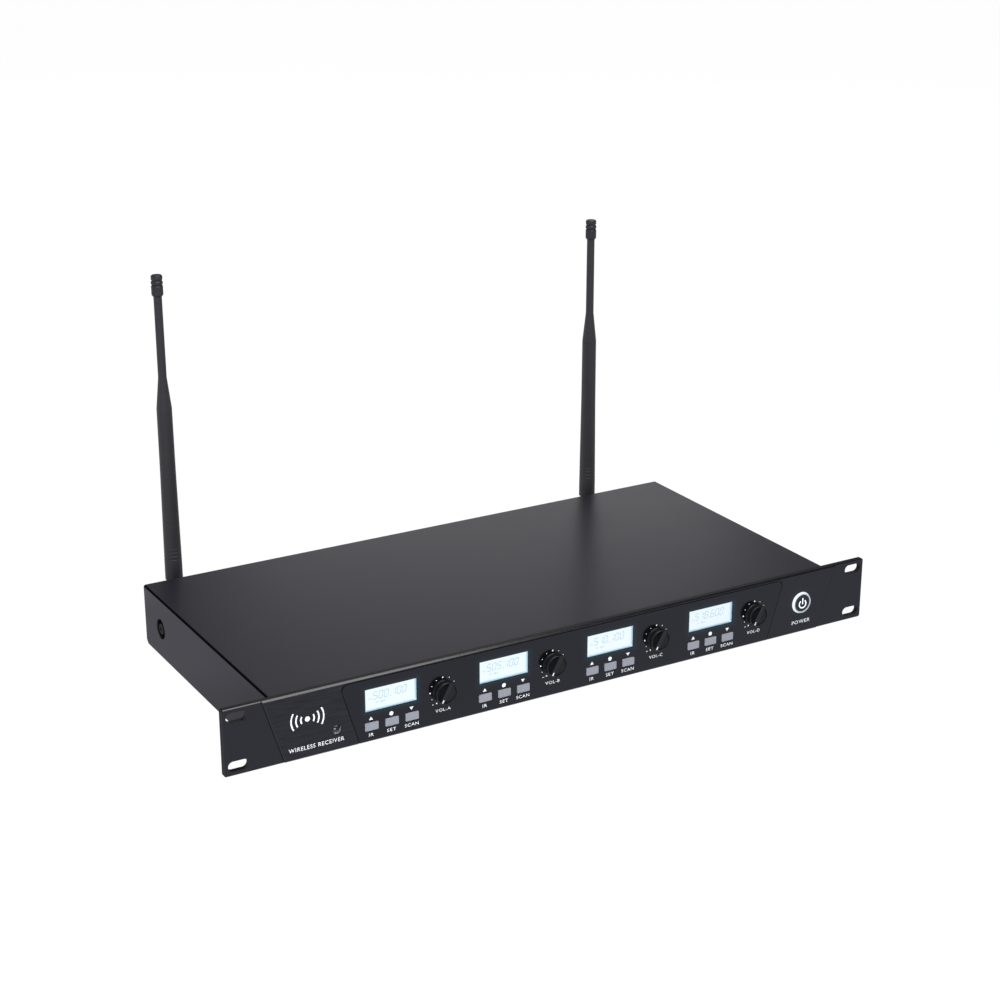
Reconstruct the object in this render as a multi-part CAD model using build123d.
from build123d import *
import os
from math import cos, radians, sin

# A four-channel wireless microphone receiver, one rack unit high, with two folding antennas.
# Millimetres. The origin is the centre of the four rack slots, on the rear face of the rack
# panel. +X is to the right seen from the front, +Y runs to the rear, +Z is up.

# ---------------------------------------------------------------- driving dimensions
# Rack panel: two flat ears and a raised centre whose ends slant.
PANEL_WIDTH = 482.6
PANEL_HEIGHT = 44.0
PANEL_THICKNESS = 3.7
PANEL_CORNER = 1.6
PANEL_CHAMFER = 0.5
FACE_RISE = 0.9
FACE_HALF_WIDTH = 208.9
FACE_SLANT = 0.309
FACE_END_CHAMFER = 0.5
FACE_GROOVE_WIDTH = 0.5
FACE_GROOVE_DEPTH = 0.6
SLOT_LENGTH = 13.4
SLOT_WIDTH = 6.6
SLOT_SPACING_X = 464.0
SLOT_SPACING_Z = 31.75

# Tinted display window, let flush into the raised centre.
WINDOW_MIDDLE_X = 3.1
WINDOW_HALF_WIDTH = 162.2
WINDOW_SLANT = 0.3
WINDOW_TOP = 20.5
WINDOW_CORNER = 4.0
WINDOW_GAP = 0.5

# The four channels, left to right.
CHANNELS = ["a", "b", "c", "d"]
CHANNEL_PITCH = 80.3
FIRST_SCREEN_X = -129.9
SCREEN_Z = 5.7
SCREEN_WIDTH = 35.9
SCREEN_HEIGHT = 15.35
SCREEN_DEPTH = 1.8
SCREEN_GAP = 0.15
SCREEN_RIM = 0.3
KNOB_OFFSET = 35.9
KNOB_Z = 0.6
KNOB_RADIUS = 7.6
KNOB_HEIGHT = 5.6
KNOB_REST_ANGLE = 240.0
KNOB_BAR_HALF_WIDTH = 1.5
KNOB_SCOOP_RADIUS = 6.75
KNOB_SCOOP_DEPTH = 2.4
KNOB_RIM_DEPTH = 0.2
KNOB_BORE_DEPTH = 2.9
KNOB_RIBS = 36
SHAFT_RADIUS = 3.0
BUTTON_NAMES = ["ir", "set", "scan"]
BUTTON_PITCH = 14.0
BUTTON_Z = -11.6
BUTTON_WIDTH = 9.2
BUTTON_HEIGHT = 5.35
BUTTON_PROUD = 0.6
BUTTON_TRAVEL = 0.5
BUTTON_CLEARANCE = 0.2

# Power button, its light ring, and the sync sensor.
POWER_X = 187.2
POWER_Z = 0.3
POWER_RING_RADIUS = 7.6
POWER_RING_FRONT_RADIUS = 7.0
POWER_RING_RISE = 1.5
POWER_CAP_RADIUS = 6.1
POWER_TRAVEL = 1.2
SENSOR_X = -167.4
SENSOR_Z = -8.4
SENSOR_RADIUS = 3.2

# Sheet steel body.
BODY_WIDTH = 419.2
BODY_DEPTH = 205.7
BODY_TOP = 20.8
BODY_BOTTOM = -21.5
SHEET = 1.2
BEND_RADIUS = 1.6
COVER_SCREW_Y = [28.0, 177.2]
COVER_SCREW_Z = -1.1
DIMPLE_DEPTH = 2.2
COVER_DIMPLE = (7.4, 4.6)
TRAY_DIMPLE = (7.6, 5.8)
DIMPLE_METAL = 1.0

# Boards.
BOARD_THICKNESS = 1.6
FRONT_BOARD_Y = 7.0
MAIN_BOARD_Z = -14.2
RIBBON_X = -64.0

# Rear connectors.
XLR_X = [-122.0, -78.0, -34.0, 10.0]
XLR_Z = -0.5
XLR_FLANGE = (26.0, 31.0)
XLR_BARREL_RADIUS = 11.8
XLR_WELL_RADIUS = 9.3
XLR_PIN_CIRCLE = 3.9
XLR_PIN_RADIUS = 1.2
MIX_JACK_X = 56.0
MIX_JACK_RADIUS = 3.25
DC_INLET_X = 98.0
JACK_Z = -4.5

# Antennas: bayonet plug, knuckle that folds, rubber whip.
ANTENNA_X = 172.3
HINGE_BEHIND_BODY = 40.6
WHIP_TOP = 222.3
TIP_BOTTOM = 207.6
KNUCKLE_RADIUS = 6.2
HINGE_PIN_RADIUS = 1.5
COLLAR_FLUTES = 24
WHIP_GROOVES = 4
WHIP_GROOVE_PITCH = 2.7
RUNNING_CLEARANCE = 0.05

# M3 screws hold everything inside; M4 screws hold the cover.
M3_RADIUS = 1.45
M3_HOLE_RADIUS = 1.6
M3_TAP_RADIUS = 1.5
M3_HEAD_RADIUS = 2.75
M3_HEAD_HEIGHT = 1.9
M4_RADIUS = 1.9
M4_HOLE_RADIUS = 2.1
M4_HEAD_RADIUS = 3.9
M4_HEAD_HEIGHT = 2.0

# ---------------------------------------------------------------- worked-out places
FACE_Y = -PANEL_THICKNESS - FACE_RISE
EAR_Y = -PANEL_THICKNESS
HALF_HEIGHT = PANEL_HEIGHT / 2
REAR_WALL_OUTSIDE = BODY_DEPTH - 0.3
REAR_WALL_INSIDE = REAR_WALL_OUTSIDE - SHEET
TRAY_HALF_WIDTH = BODY_WIDTH / 2 - SHEET - 0.1
TRAY_FLOOR = BODY_BOTTOM + SHEET
TRAY_FLANGE_TOP = 13.0
FRONT_LIP_TOP = -18.5
FRONT_BOARD_BACK = FRONT_BOARD_Y + BOARD_THICKNESS
MAIN_BOARD_TOP = MAIN_BOARD_Z + BOARD_THICKNESS
HINGE_Y = BODY_DEPTH + HINGE_BEHIND_BODY
SCREEN_X = [FIRST_SCREEN_X + i * CHANNEL_PITCH for i in range(len(CHANNELS))]
KNOB_X = [x + KNOB_OFFSET for x in SCREEN_X]
BUTTON_X = [[x + step * BUTTON_PITCH for step in (-1, 0, 1)] for x in SCREEN_X]
BOSS_OFFSET_X = 25.7
BOSS_Z = 15.0
BOSS_PLACES = [(x + BOSS_OFFSET_X, z) for x in SCREEN_X for z in (-BOSS_Z, BOSS_Z)]
BRACKET_INNER_X = 197.0
BRACKET_SCREWS = [(side * (BRACKET_INNER_X + 3.0), z) for side in (-1, 1) for z in (-11.0, 11.0)]
STANDOFFS = [(x, y) for x in (-180.0, 0.0, 180.0) for y in (48.0, 182.0)]
PANEL_HOLE_DEPTH = 2.9

os.makedirs("parts", exist_ok=True)


# ---------------------------------------------------------------- small helpers
def block(x0, x1, y0, y1, z0, z1):
    """A box between two corners."""
    middle = Pos((x0 + x1) / 2, (y0 + y1) / 2, (z0 + z1) / 2)
    return middle * Box(x1 - x0, y1 - y0, z1 - z0)


def slab(face, y0, y1):
    """A flat face drawn in X and Z, filled from y0 back to y1."""
    return extrude(Plane.XZ.offset(-y1) * face, y1 - y0)


def rod_x(y, z, radius, x0, x1):
    return Pos((x0 + x1) / 2, y, z) * Rot(0, 90, 0) * Cylinder(radius, x1 - x0)


def rod_y(x, z, radius, y0, y1):
    return Pos(x, (y0 + y1) / 2, z) * Rot(90, 0, 0) * Cylinder(radius, y1 - y0)


def rod_z(x, y, radius, z0, z1):
    return Pos(x, y, (z0 + z1) / 2) * Cylinder(radius, z1 - z0)


def outline(points):
    """A closed flat face through the points, in the order given."""
    return make_face(Polyline(*points, close=True))


def turned_y(points):
    """A piece turned about the Y axis, from its (radius, y) points."""
    return revolve(outline(points), Axis.Y)


def turned_z(points):
    """A piece turned about the Z axis, from its (radius, z) points."""
    return revolve(Plane.XZ * outline(points), Axis.Z)


def save(name, *solids):
    """Write one sub-part; several separate solids share the file as a group."""
    shape = solids[0] if len(solids) == 1 else Compound(children=list(solids))
    export_step(shape, f"parts/{name}.step")


# ---------------------------------------------------------------- rack panel and window
def slanted_outline(middle_x, half_width, slant, top, bottom):
    """A trapezoid that is wider at the top; half_width is measured at mid height."""
    return outline([
        (middle_x - half_width - slant * top, top),
        (middle_x + half_width + slant * top, top),
        (middle_x + half_width + slant * bottom, bottom),
        (middle_x - half_width - slant * bottom, bottom),
    ])


def face_outline(grow):
    """The raised centre's outline, with its slanted ends moved outward by grow."""
    return slanted_outline(0, FACE_HALF_WIDTH + grow, FACE_SLANT, HALF_HEIGHT, -HALF_HEIGHT)


def raised_face():
    """The raised centre of the panel: bevelled along the top and bottom, slanted at its ends."""
    profile = Plane.YZ * outline([
        (EAR_Y, HALF_HEIGHT),
        (FACE_Y, HALF_HEIGHT - FACE_RISE),
        (FACE_Y, -HALF_HEIGHT + FACE_RISE),
        (EAR_Y, -HALF_HEIGHT),
    ])
    bar = extrude(profile, PANEL_WIDTH / 2, both=True)
    return bar & slab(face_outline(0), FACE_Y - 1, EAR_Y)


def window_outline(gap):
    """The window's outline, drawn in by gap; it runs out through the panel's lower edge."""
    face = slanted_outline(
        WINDOW_MIDDLE_X, WINDOW_HALF_WIDTH - gap, WINDOW_SLANT, WINDOW_TOP - gap, -HALF_HEIGHT - 1
    )
    return fillet(face.vertices().sort_by(Axis.Y)[-2:], WINDOW_CORNER)


def button_outline(x, grow):
    face = RectangleRounded(BUTTON_WIDTH + grow, BUTTON_HEIGHT + grow, 0.6)
    return Pos(x, BUTTON_Z) * face


def control_holes(y0, y1, shaft_radius):
    """Openings for the buttons and for the shafts of the volume controls."""
    holes = []
    for knob_x, button_row in zip(KNOB_X, BUTTON_X):
        holes.append(rod_y(knob_x, KNOB_Z, shaft_radius, y0, y1))
        for x in button_row:
            holes.append(slab(button_outline(x, 2 * BUTTON_CLEARANCE), y0, y1))
    return holes


def screen_outline(x, inset=0.0):
    """The opening for a display, drawn in by inset on every side."""
    size = (SCREEN_WIDTH - 2 * inset, SCREEN_HEIGHT - 2 * inset)
    return Pos(x, SCREEN_Z) * RectangleRounded(*size, 0.5)


def rack_panel():
    plate = slab(RectangleRounded(PANEL_WIDTH, PANEL_HEIGHT, PANEL_CORNER), EAR_Y, 0)
    panel = chamfer(plate.edges().group_by(Axis.Y)[0], PANEL_CHAMFER) + raised_face()
    panel -= slab(window_outline(0), FACE_Y - 1, EAR_Y)
    foot_grooves = face_outline(FACE_GROOVE_WIDTH) - face_outline(0)
    panel -= slab(foot_grooves, EAR_Y - 0.1, EAR_Y + FACE_GROOVE_DEPTH)
    for x, z in BOSS_PLACES:
        panel += rod_y(x, z, 3.0, 0, FRONT_BOARD_Y)
        panel -= rod_y(x, z, M3_TAP_RADIUS, 2.0, FRONT_BOARD_Y)
    for x, z in BRACKET_SCREWS:
        panel -= rod_y(x, z, M3_TAP_RADIUS, -PANEL_HOLE_DEPTH, 0)
    panel -= control_holes(FACE_Y, 1, 3.6)
    panel -= [slab(screen_outline(x), FACE_Y, 1) for x in SCREEN_X]
    panel -= rod_y(POWER_X, POWER_Z, POWER_RING_RADIUS + 0.1, FACE_Y - 1, 1)
    panel -= rod_y(SENSOR_X, SENSOR_Z, SENSOR_RADIUS + 0.1, FACE_Y - 1, 1)
    for x in (-SLOT_SPACING_X / 2, SLOT_SPACING_X / 2):
        for z in (-SLOT_SPACING_Z / 2, SLOT_SPACING_Z / 2):
            panel -= slab(Pos(x, z) * SlotOverall(SLOT_LENGTH, SLOT_WIDTH), EAR_Y - 1, 1)
    front = panel.edges().filter_by_position(Axis.Y, FACE_Y - 0.01, FACE_Y + 0.01)
    slanted = [e for e in front if abs(e.center().X) > 200 and abs(e.tangent_at(0.5).Z) > 0.5]
    return chamfer(slanted, FACE_END_CHAMFER)


def display_window():
    """Acrylic sheet, as thick as the face is raised, with the controls' openings in it."""
    sheet = raised_face() & slab(window_outline(WINDOW_GAP), FACE_Y - 1, EAR_Y)
    return sheet - control_holes(FACE_Y - 1, EAR_Y + 1, 4.2)


# ---------------------------------------------------------------- sheet steel body
def dish_walls(shape, wall_x, radii, hole_radius):
    """Press the four cover-screw seats into a pair of side walls and drill them.

    wall_x is the walls' outer face, and radii are the dish's at its mouth and at its floor.
    """
    mouth, floor = radii
    back = DIMPLE_DEPTH + SHEET
    flare = (mouth - floor) / DIMPLE_DEPTH
    metal = turned_y([(0, 0.1), (mouth + DIMPLE_METAL, 0.1), (floor + DIMPLE_METAL, back), (0, back)])
    dish = turned_y([(0, -1), (mouth + flare, -1), (floor, DIMPLE_DEPTH), (0, DIMPLE_DEPTH)])
    dish += rod_y(0, 0, hole_radius, 0, back + 1)
    for side in (-1, 1):
        for y in COVER_SCREW_Y:
            place = Pos(side * wall_x, y, COVER_SCREW_Z) * Rot(0, 0, 90 * side)
            shape = shape + place * metal - place * dish
    return shape


def fold_groove(side):
    """The fine groove along a top edge that sharpens the fold; it stops short of both ends."""
    cutter = Box(0.9, BODY_DEPTH - 9.0, 1.4)
    inset = BEND_RADIUS * (1 - cos(radians(45)))
    at = Pos(side * (BODY_WIDTH / 2 - inset), BODY_DEPTH / 2, BODY_TOP - inset)
    return at * Rot(0, 45 * side, 0) * cutter


def top_cover():
    """Top and two side walls, folded from one sheet."""
    half = BODY_WIDTH / 2
    shell = outline([(-half, BODY_BOTTOM), (-half, BODY_TOP), (half, BODY_TOP), (half, BODY_BOTTOM)])
    shell = fillet(shell.vertices().sort_by(Axis.Y)[-2:], BEND_RADIUS)
    inner = outline([
        (-half + SHEET, BODY_BOTTOM - 1), (-half + SHEET, BODY_TOP - SHEET),
        (half - SHEET, BODY_TOP - SHEET), (half - SHEET, BODY_BOTTOM - 1),
    ])
    inner = fillet(inner.vertices().sort_by(Axis.Y)[-2:], BEND_RADIUS - SHEET)
    cover = slab(shell - inner, 0.1, BODY_DEPTH)
    cover = dish_walls(cover, half, COVER_DIMPLE, M4_HOLE_RADIUS)
    corner = [e for e in cover.edges().filter_by(Axis.X)
              if e.center().Z < BODY_BOTTOM + 0.1 and e.center().Y > BODY_DEPTH - 0.1]
    cover = chamfer(corner, 2.5)
    return cover - [fold_groove(-1), fold_groove(1)]


def chassis_tray():
    """Floor, front lip, side flanges and rear wall, folded from one sheet."""
    half = TRAY_HALF_WIDTH
    tray = block(-half, half, 0.3, REAR_WALL_OUTSIDE, BODY_BOTTOM, TRAY_FLOOR)
    tray += block(-190, 190, 0.3, 0.3 + SHEET, BODY_BOTTOM, FRONT_LIP_TOP)
    tray += block(-half, half, REAR_WALL_INSIDE, REAR_WALL_OUTSIDE, BODY_BOTTOM, 19.4)
    for side in (-1, 1):
        low, high = sorted([side * half, side * (half - SHEET)])
        tray += block(low, high, 6, REAR_WALL_OUTSIDE - 4, BODY_BOTTOM, TRAY_FLANGE_TOP)
    tray = dish_walls(tray, half, TRAY_DIMPLE, M4_RADIUS + 0.05)
    for x, y in STANDOFFS:
        tray += rod_z(x, y, 3.0, TRAY_FLOOR - 0.1, MAIN_BOARD_Z)
        tray -= rod_z(x, y, M3_TAP_RADIUS, TRAY_FLOOR, MAIN_BOARD_Z)
    for x in XLR_X:
        tray -= rod_y(x, XLR_Z, XLR_BARREL_RADIUS + 0.2, REAR_WALL_INSIDE - 1, REAR_WALL_OUTSIDE + 1)
    for x, z in xlr_screw_places():
        tray -= rod_y(x, z, M3_HOLE_RADIUS, REAR_WALL_INSIDE - 1, REAR_WALL_OUTSIDE + 1)
    for x, radius in ((MIX_JACK_X, 4.5), (-ANTENNA_X, 4.9), (ANTENNA_X, 4.9)):
        tray -= rod_y(x, JACK_Z, radius, REAR_WALL_INSIDE - 1, REAR_WALL_OUTSIDE + 1)
    tray -= rod_y(DC_INLET_X, JACK_Z, 5.6, REAR_WALL_INSIDE - 1, REAR_WALL_OUTSIDE + 1)
    return tray


def panel_bracket(side):
    """An angle that ties the rack panel to the side flange behind it."""
    leg_face = TRAY_HALF_WIDTH - DIMPLE_DEPTH - SHEET - 0.05
    low, high = sorted([side * BRACKET_INNER_X, side * leg_face])
    bracket = block(low, high, 0, 2, -17, 17)
    low, high = sorted([side * (leg_face - 2), side * leg_face])
    bracket += block(low, high, 0, 38, -17, 12)
    for x, z in BRACKET_SCREWS:
        if x * side > 0:
            bracket -= rod_y(x, z, M3_HOLE_RADIUS, -1, 3)
    bracket -= rod_x(COVER_SCREW_Y[0], COVER_SCREW_Z, M4_RADIUS + 0.05, low - 1, high + 1)
    return bracket


# ---------------------------------------------------------------- front controls
def lcd_module(x):
    """Display glass in the panel opening, a rim that stands forward round it, a frame behind."""
    glass_y = EAR_Y + SCREEN_DEPTH
    outer = screen_outline(x, SCREEN_GAP)
    glass = slab(outer, glass_y, 0.3)
    rim = outer - screen_outline(x, SCREEN_GAP + SCREEN_RIM)
    frame = slab(Pos(x, SCREEN_Z) * RectangleRounded(41.0, 20.6, 0.8), 0.25, FRONT_BOARD_Y - 0.05)
    return glass + slab(rim, EAR_Y + 0.05, glass_y + 0.1) + frame


def knob_scoop(side, front):
    """A hollow beside the grip bar: steep at the bar, running out to the knob's rim."""
    bar_foot = (side * KNOB_BAR_HALF_WIDTH, front + KNOB_SCOOP_DEPTH)
    rim_foot = (side * (KNOB_SCOOP_RADIUS + 0.3), front + KNOB_RIM_DEPTH)
    walls = Polyline(bar_foot, (bar_foot[0], front - 1), (rim_foot[0], front - 1), rim_foot)
    bulge = ((bar_foot[0] + rim_foot[0]) / 2, front + 0.78 * KNOB_SCOOP_DEPTH)
    floor = ThreePointArc(rim_foot, bulge, bar_foot)
    trough = extrude(Plane.XY * make_face(walls + floor), 10, both=True)
    return trough & rod_y(0, 0, KNOB_SCOOP_RADIUS, front - 1, front + 3)


def knob_body(x):
    """Ribbed knob with a grip bar left standing between two scoops; it points down and left."""
    back = FACE_Y - 0.15
    front = FACE_Y - KNOB_HEIGHT
    waist = KNOB_RADIUS - 0.25
    bore = SHAFT_RADIUS + 0.02
    knob = turned_y([
        (bore, back), (KNOB_RADIUS, back), (KNOB_RADIUS, back - 0.9), (waist, back - 1.2),
        (waist, front + 0.3), (waist - 0.3, front), (0, front), (0, front + KNOB_BORE_DEPTH),
        (bore, front + KNOB_BORE_DEPTH),
    ])
    for i in range(KNOB_RIBS):
        turn = radians(360 / KNOB_RIBS * i)
        gap_x = (waist + 0.12) * cos(turn)
        gap_z = (waist + 0.12) * sin(turn)
        knob -= rod_y(gap_x, gap_z, 0.27, front + 0.7, back - 1.4)
    knob -= [knob_scoop(-1, front), knob_scoop(1, front)]
    turn = KNOB_REST_ANGLE - 90
    return Pos(x, 0, KNOB_Z) * Rot(0, -turn, 0) * knob


def pot_shaft(x):
    """Volume control shaft, pressed into the knob at its front end."""
    front = FACE_Y - KNOB_HEIGHT + KNOB_BORE_DEPTH + 0.05
    shaft = rod_y(x, KNOB_Z, SHAFT_RADIUS, front, 3.0)
    return shaft - block(x - 0.4, x + 0.4, front - 1, FACE_Y - 0.5, KNOB_Z - 4, KNOB_Z + 4)


def volume_pot(x):
    """Volume control: square body on the front board and the bush its shaft turns in."""
    body = block(x - 4.9, x + 4.9, 0.6, FRONT_BOARD_Y - 0.05, KNOB_Z - 6.5, KNOB_Z + 5.0)
    body += rod_y(x, KNOB_Z, 3.45, EAR_Y - 0.6, 1.0)
    return body - rod_y(x, KNOB_Z, SHAFT_RADIUS + RUNNING_CLEARANCE, EAR_Y - 1, 3.1)


def button_cap(x):
    """Rectangular key cap with a retaining flange behind the panel and a short stem."""
    cap = slab(button_outline(x, 0), FACE_Y - BUTTON_PROUD, 0.5)
    cap = fillet(cap.edges().group_by(Axis.Y)[0], 0.3)
    cap += slab(Pos(x, BUTTON_Z) * RectangleRounded(10.8, 7.0, 0.6), 0.15, 1.15)
    return cap + rod_y(x, BUTTON_Z, 1.5, 1.0, 1.6)


def tact_switch(x):
    body = block(x - 3, x + 3, 3.6, FRONT_BOARD_Y - 0.05, BUTTON_Z - 3, BUTTON_Z + 3)
    return body + rod_y(x, BUTTON_Z, 1.7, 1.6 + BUTTON_TRAVEL + 0.1, 3.7)


def power_light_ring():
    """Clear tapered ring that stands proud round the power button, with a flange behind the panel."""
    bore = POWER_CAP_RADIUS + 0.15
    front = FACE_Y - POWER_RING_RISE
    ring = turned_y([
        (bore, front), (POWER_RING_FRONT_RADIUS, front), (POWER_RING_RADIUS, FACE_Y),
        (POWER_RING_RADIUS, 0.15), (9.4, 0.15), (9.4, 1.2), (bore, 1.2),
    ])
    return Pos(POWER_X, 0, POWER_Z) * ring


def power_button():
    """Round cap, level with the front of its ring at rest, and the plunger it drives."""
    front = FACE_Y - POWER_RING_RISE
    cap = turned_y([
        (0, front), (POWER_CAP_RADIUS - 0.2, front), (POWER_CAP_RADIUS, front + 0.2),
        (POWER_CAP_RADIUS, 0.5), (2.5, 0.5), (2.5, 2.6), (0, 2.6),
    ])
    return Pos(POWER_X, 0, POWER_Z) * cap


def power_switch():
    """Latching switch: its nose goes through the front board, its body is behind it."""
    x, z = POWER_X, POWER_Z
    nose = block(x - 4.2, x + 4.2, 4.6, FRONT_BOARD_BACK + 0.1, z - 4.2, z + 4.2)
    nose += rod_y(x, z, 2.0, 2.6 + POWER_TRAVEL + 0.1, 5)
    body_y = FRONT_BOARD_BACK + 0.05
    return nose + block(x - 5.5, x + 5.5, body_y, body_y + 9, z - 5.5, z + 5.5)


def sensor_lens():
    """Domed infra-red lens for handset pairing, with its flange behind the panel."""
    dome_height = 1.3
    side = Polyline((SENSOR_RADIUS - 0.3, FACE_Y), (SENSOR_RADIUS, FACE_Y + 0.3),
                    (SENSOR_RADIUS, 0.15), (4.2, 0.15), (4.2, 1.4), (0, 1.4), (0, FACE_Y - dome_height))
    dome = ThreePointArc((0, FACE_Y - dome_height), (1.7, FACE_Y - 0.8), (SENSOR_RADIUS - 0.3, FACE_Y))
    return Pos(SENSOR_X, 0, SENSOR_Z) * revolve(make_face(side + dome), Axis.Y)


# ---------------------------------------------------------------- boards and wiring
def front_board():
    """Upright board behind the panel that carries displays, keys and volume controls."""
    board = block(-178, 196, FRONT_BOARD_Y, FRONT_BOARD_BACK, -19, 19)
    for x, z in BOSS_PLACES:
        board -= rod_y(x, z, M3_HOLE_RADIUS, FRONT_BOARD_Y - 1, FRONT_BOARD_BACK + 1)
    hole = 4.4
    board -= block(POWER_X - hole, POWER_X + hole, 0, 20, POWER_Z - hole, POWER_Z + hole)
    return board


def main_board():
    """Flat audio and power board on six standoffs, with its tallest components."""
    board = block(-190, 190, 40, 190, MAIN_BOARD_Z, MAIN_BOARD_TOP)
    for x, y in STANDOFFS:
        board -= rod_z(x, y, M3_HOLE_RADIUS, MAIN_BOARD_Z - 1, MAIN_BOARD_TOP + 1)
    for x in SCREEN_X:
        board += block(x + 10, x + 24, 142, 156, MAIN_BOARD_TOP - 0.1, MAIN_BOARD_TOP + 2.2)
        board += rod_z(x + 31, 149, 4.0, MAIN_BOARD_TOP - 0.1, MAIN_BOARD_TOP + 13)
    return board


def receiver_module(x):
    """Shielded receiver of one channel: a tin can with its lid, standing on the main board."""
    base = MAIN_BOARD_TOP + 0.05
    can = block(x - 26, x + 34, 58, 128, base, base + 10)
    can = fillet(can.edges().filter_by(Axis.Z), 2.0)
    lid = block(x - 26.5, x + 34.5, 57.5, 128.5, base + 7, base + 10.6)
    lid = fillet(lid.edges().filter_by(Axis.Z), 2.5)
    lid -= [rod_z(x + 4 + 18 * i, 93 + 22 * j, 3.0, base + 9.8, base + 12)
            for i in (-1, 1) for j in (-1, 1)]
    return can + lid


def ribbon_cable():
    """Flat cable folded from the back of the front board down to the main board."""
    plug_y = FRONT_BOARD_BACK + 0.05
    strip = Plane.YZ * outline([
        (plug_y + 5, -1), (plug_y + 5, 0), (38, 0), (44, -6), (44, MAIN_BOARD_TOP + 4),
        (43, MAIN_BOARD_TOP + 4), (43, -5.6), (37.6, -1),
    ])
    cable = extrude(strip, 17, both=True)
    cable += block(-19, 19, plug_y, plug_y + 5.1, -4, 3)
    cable += block(-19, 19, 40.5, 46.5, MAIN_BOARD_TOP + 0.05, MAIN_BOARD_TOP + 4.1)
    return Pos(RIBBON_X, 0, 0) * cable


def coax_lead(side):
    """Aerial lead from an antenna jack forward to its socket on the main board."""
    start = (side * ANTENNA_X, 192.98, JACK_Z)
    end = (side * 150, 136, -9.0)
    path = Spline(start, end, tangents=[(0, -1, 0), (0, -1, 0)], tangent_scalars=[1.2, 1.2])
    lead = sweep(Plane(origin=start, z_dir=(0, -1, 0)) * Circle(1.1), path=path)
    return lead + rod_z(side * 150, 136, 2.6, MAIN_BOARD_TOP + 0.05, -7.5)


# ---------------------------------------------------------------- rear connectors
def xlr_screw_places():
    """Each connector's flange takes a screw at two opposite corners."""
    return [(x + 9.5 * turn, XLR_Z + 12.0 * turn) for x in XLR_X for turn in (-1, 1)]


def xlr_output(x):
    """Balanced output: flange, round well and three contact pins in one moulded unit."""
    plate = Pos(x, XLR_Z) * RectangleRounded(*XLR_FLANGE, 3)
    flange = slab(plate, REAR_WALL_OUTSIDE, REAR_WALL_OUTSIDE + 1.8)
    barrel = rod_y(x, XLR_Z, XLR_BARREL_RADIUS, REAR_WALL_INSIDE - 14, REAR_WALL_OUTSIDE + 0.5)
    barrel += rod_y(x, XLR_Z, 10.9, REAR_WALL_OUTSIDE, REAR_WALL_OUTSIDE + 4.5)
    well_floor = REAR_WALL_INSIDE - 10
    unit = flange + barrel - rod_y(x, XLR_Z, XLR_WELL_RADIUS, well_floor, REAR_WALL_OUTSIDE + 6)
    for angle in (90, 210, 330):
        pin_x = x + XLR_PIN_CIRCLE * cos(radians(angle))
        pin_z = XLR_Z + XLR_PIN_CIRCLE * sin(radians(angle))
        unit += rod_y(pin_x, pin_z, XLR_PIN_RADIUS, well_floor - 1, REAR_WALL_OUTSIDE)
    for screw_x, screw_z in xlr_screw_places():
        if abs(screw_x - x) < XLR_FLANGE[0] / 2:
            unit -= rod_y(screw_x, screw_z, M3_HOLE_RADIUS, REAR_WALL_INSIDE - 1, REAR_WALL_OUTSIDE + 3)
    return unit


def mix_jack():
    """6.35 mm socket for the mixed output: box inside, threaded bush through the wall."""
    x, y = MIX_JACK_X, REAR_WALL_INSIDE - 0.05
    jack = block(x - 8, x + 8, y - 24, y, JACK_Z - 7, JACK_Z + 7)
    jack += rod_y(x, JACK_Z, 4.4, y - 1, REAR_WALL_OUTSIDE + 4.2)
    return jack - rod_y(x, JACK_Z, MIX_JACK_RADIUS, y - 18, REAR_WALL_OUTSIDE + 6)


def dc_inlet():
    """Barrel power inlet with its contact pin."""
    x, y = DC_INLET_X, REAR_WALL_INSIDE
    inlet = rod_y(x, JACK_Z, 5.5, y - 12, REAR_WALL_OUTSIDE + 0.5)
    inlet += rod_y(x, JACK_Z, 7.0, REAR_WALL_OUTSIDE + 0.05, REAR_WALL_OUTSIDE + 1.6)
    inlet -= rod_y(x, JACK_Z, 2.9, y - 8, REAR_WALL_OUTSIDE + 3)
    return inlet + rod_y(x, JACK_Z, 1.0, y - 9, REAR_WALL_OUTSIDE)


def bnc_jack(side):
    """Antenna socket: hexagon inside the wall, threaded barrel with two bayonet studs outside."""
    x = side * ANTENNA_X
    jack = slab(Pos(x, JACK_Z) * RegularPolygon(7.5, 6), REAR_WALL_INSIDE - 3.05, REAR_WALL_INSIDE - 0.05)
    jack += rod_y(x, JACK_Z, 3.2, 193, REAR_WALL_INSIDE - 2)
    jack += rod_y(x, JACK_Z, 4.8, REAR_WALL_INSIDE - 1, BODY_DEPTH + 10.5)
    jack += rod_x(BODY_DEPTH + 7.5, JACK_Z, 0.9, x - 5.5, x + 5.5)
    return jack - rod_y(x, JACK_Z, 4.1, BODY_DEPTH + 1.5, BODY_DEPTH + 12)


def jack_nut(x, bore, across, thickness):
    """Hexagon nut against the outside of the rear wall."""
    nut = Pos(x, JACK_Z) * (RegularPolygon(across / 2, 6, major_radius=False) - Circle(bore))
    return slab(nut, REAR_WALL_OUTSIDE + 0.02, REAR_WALL_OUTSIDE + thickness)


def jack_nuts():
    mix_nut = jack_nut(MIX_JACK_X, 4.45, 13, 2.6)
    return [mix_nut] + [jack_nut(side * ANTENNA_X, 4.85, 14, 2.2) for side in (-1, 1)]


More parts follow.
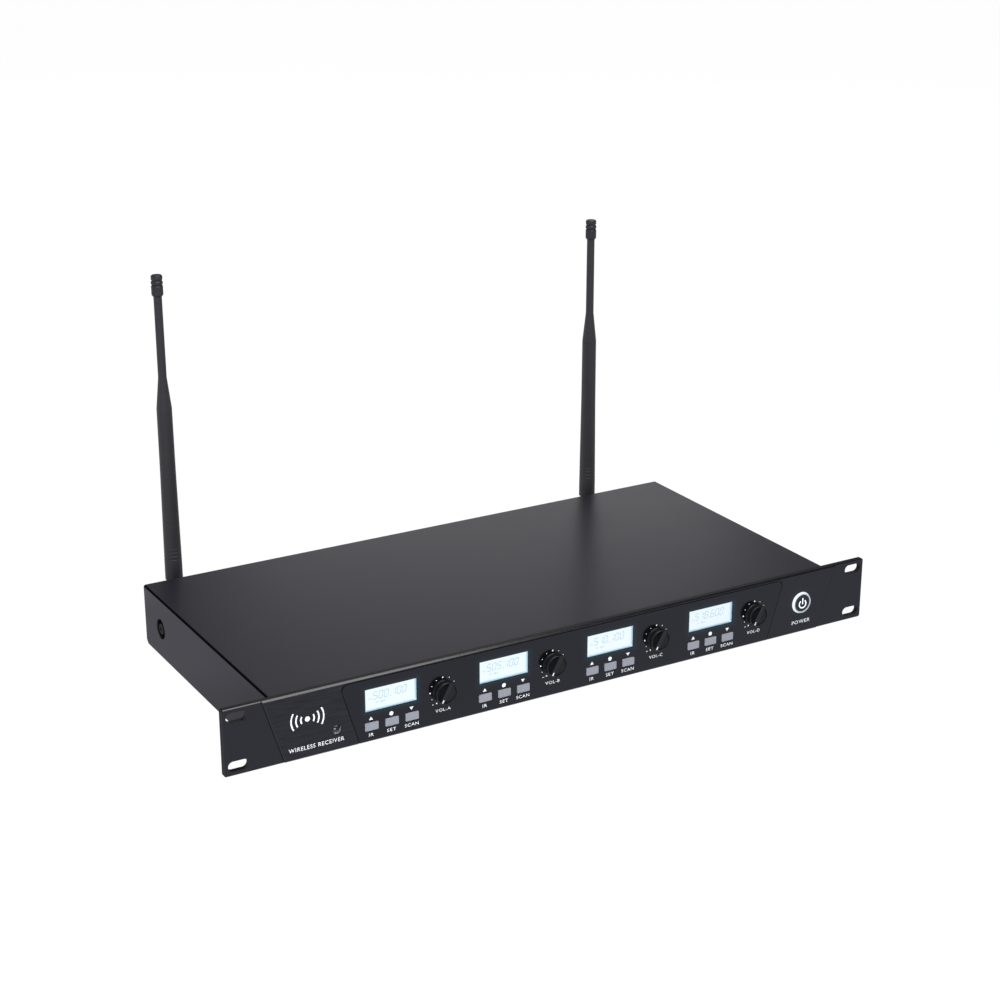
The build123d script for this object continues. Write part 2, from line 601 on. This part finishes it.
# ---------------------------------------------------------------- antennas
def antenna_collar(side):
    """Knurled bayonet ring; it turns a quarter turn on the plug to lock over the jack's studs."""
    y = BODY_DEPTH
    ring = turned_y([
        (5.1, y + 3.2), (6.8, y + 3.2), (7.2, y + 3.6), (7.2, y + 12.6), (6.9, y + 12.9),
        (6.9, y + 14.4), (6.0 + RUNNING_CLEARANCE, y + 14.4), (6.0 + RUNNING_CLEARANCE, y + 5.2),
        (5.1, y + 5.2),
    ])
    for i in range(COLLAR_FLUTES):
        turn = radians(360 / COLLAR_FLUTES * i)
        ring -= rod_y(7.35 * cos(turn), 7.35 * sin(turn), 0.4, y + 4.4, y + 11.8)
    return Pos(side * ANTENNA_X, 0, JACK_Z) * ring


def antenna_knuckle(side):
    """Plug and the fork behind it; the fork carries the hinge pin."""
    x = side * ANTENNA_X
    y = BODY_DEPTH
    knuckle = rod_y(x, JACK_Z, 4.0, y + 2.0, y + 11.5)
    knuckle += rod_y(x, JACK_Z, 6.0, y + 10.7, y + 15)
    knuckle += rod_y(x, JACK_Z, KNUCKLE_RADIUS + 0.6, y + 14.5, y + 26)
    arm = block(x - KNUCKLE_RADIUS, x + KNUCKLE_RADIUS, y + 25, HINGE_Y,
                JACK_Z - KNUCKLE_RADIUS, JACK_Z + KNUCKLE_RADIUS)
    arm += rod_x(HINGE_Y, JACK_Z, KNUCKLE_RADIUS, x - KNUCKLE_RADIUS, x + KNUCKLE_RADIUS)
    arm -= block(x - 2.8, x + 2.8, y + 29.5, HINGE_Y + 9, JACK_Z - 9, JACK_Z + 9)
    knuckle += arm
    return knuckle - rod_x(HINGE_Y, JACK_Z, HINGE_PIN_RADIUS, x - 9, x + 9)


def antenna_pin(side):
    x = side * ANTENNA_X
    return rod_x(HINGE_Y, JACK_Z, HINGE_PIN_RADIUS, x - KNUCKLE_RADIUS, x + KNUCKLE_RADIUS)


def antenna_whip(side):
    """Rubber whip: grooved foot, slow taper, flare, then a thin upper rod."""
    foot = JACK_Z + 7.3
    left = Polyline((0, foot), (5.2, foot), (6.2, foot + 1.0), (6.15, 16.6))
    right = Polyline((5.3, 129), (2.95, 151), (2.85, TIP_BOTTOM), (0, TIP_BOTTOM), (0, foot))
    taper = Polyline((6.15, 16.6), (5.45, 84), (5.3, 129))
    whip = revolve(Plane.XZ * make_face(left + taper + right), Axis.Z)
    for i in range(WHIP_GROOVES):
        whip -= Pos(0, 0, 19.8 + WHIP_GROOVE_PITCH * i) * Torus(6.5, 0.65)
    tang = rod_x(0, JACK_Z, 5.9, -2.6, 2.6) + block(-2.6, 2.6, -5.9, 5.9, JACK_Z, foot + 0.5)
    tang &= rod_z(0, 0, 6.1, JACK_Z - 8, foot + 0.5)
    whip += tang
    whip -= rod_x(0, JACK_Z, HINGE_PIN_RADIUS + RUNNING_CLEARANCE, -9, 9)
    return Pos(side * ANTENNA_X, HINGE_Y, 0) * whip


def antenna_tip(side):
    """Moulded end cap with two grooves under its rim."""
    bottom, top = TIP_BOTTOM + 0.02, WHIP_TOP
    cap = turned_z([
        (0, bottom), (3.1, bottom), (4.0, bottom + 1.3), (4.0, top - 7.6), (3.4, top - 6.9),
        (4.0, top - 6.0), (4.0, top - 4.6), (3.4, top - 3.8), (3.9, top - 2.8), (3.9, top - 0.7),
        (3.3, top), (0, top),
    ])
    return Pos(side * ANTENNA_X, HINGE_Y, 0) * cap


# ---------------------------------------------------------------- fasteners
def screw(length, radius, head_radius, head_height):
    """Pan-head screw along +Z, head above z = 0, with a cross recess."""
    head = fillet(Cylinder(head_radius, head_height).edges().group_by(Axis.Z)[-1], head_height * 0.45)
    body = Pos(0, 0, head_height / 2) * head + Pos(0, 0, -length / 2) * Cylinder(radius, length)
    recess = Box(head_radius * 1.1, head_radius * 0.3, head_height)
    recess += Rot(0, 0, 90) * recess
    return body - Pos(0, 0, head_height) * recess


def m3_screw(length):
    return screw(length, M3_RADIUS, M3_HEAD_RADIUS, M3_HEAD_HEIGHT)


def cover_screws():
    screws = []
    for side in (-1, 1):
        for y in COVER_SCREW_Y:
            seat = side * (BODY_WIDTH / 2 - DIMPLE_DEPTH + 0.02)
            place = Pos(seat, y, COVER_SCREW_Z) * Rot(0, 90 * side, 0)
            screws.append(place * screw(5.5, M4_RADIUS, M4_HEAD_RADIUS, M4_HEAD_HEIGHT))
    return screws


def rear_screws():
    seat = REAR_WALL_OUTSIDE + 1.82
    return [Pos(x, seat, z) * Rot(-90, 0, 0) * m3_screw(6.0) for x, z in xlr_screw_places()]


def inner_screws():
    screws = [Pos(x, FRONT_BOARD_BACK + 0.02, z) * Rot(-90, 0, 0) * m3_screw(5.0)
              for x, z in BOSS_PLACES]
    screws += [Pos(x, 2.02, z) * Rot(-90, 0, 0) * m3_screw(4.4) for x, z in BRACKET_SCREWS]
    screws += [Pos(x, y, MAIN_BOARD_TOP + 0.02) * m3_screw(5.0) for x, y in STANDOFFS]
    return screws


# ---------------------------------------------------------------- write every sub-part
save("rack_panel", rack_panel())
save("display_window", display_window())
save("top_cover", top_cover())
save("chassis_tray", chassis_tray())
save("front_board", front_board())
save("main_board", main_board())
save("ribbon_cable", ribbon_cable())
save("power_button", power_button())
save("power_light_ring", power_light_ring())
save("power_switch", power_switch())
save("sensor_lens", sensor_lens())
save("mix_jack", mix_jack())
save("dc_inlet", dc_inlet())

for name, screen_x, knob_x, button_row in zip(CHANNELS, SCREEN_X, KNOB_X, BUTTON_X):
    save(f"lcd_module_{name}", lcd_module(screen_x))
    save(f"knob_{name}", knob_body(knob_x))
    save(f"pot_shaft_{name}", pot_shaft(knob_x))
    for key, x in zip(BUTTON_NAMES, button_row):
        save(f"button_{name}_{key}", button_cap(x))

for name, side in (("left", -1), ("right", 1)):
    save(f"panel_bracket_{name}", panel_bracket(side))
    save(f"bnc_jack_{name}", bnc_jack(side))
    save(f"antenna_collar_{name}", antenna_collar(side))
    save(f"antenna_knuckle_{name}", antenna_knuckle(side))
    save(f"antenna_pin_{name}", antenna_pin(side))
    save(f"antenna_whip_{name}", antenna_whip(side))
    save(f"antenna_tip_{name}", antenna_tip(side))

save("volume_pots", *[volume_pot(x) for x in KNOB_X])
save("tact_switches", *[tact_switch(x) for row in BUTTON_X for x in row])
save("receiver_modules", *[receiver_module(x) for x in SCREEN_X])
save("xlr_outputs", *[xlr_output(x) for x in XLR_X])
save("coax_leads", coax_lead(-1), coax_lead(1))
save("jack_nuts", *jack_nuts())
save("cover_screws", *cover_screws())
save("rear_screws", *rear_screws())
save("inner_screws", *inner_screws())
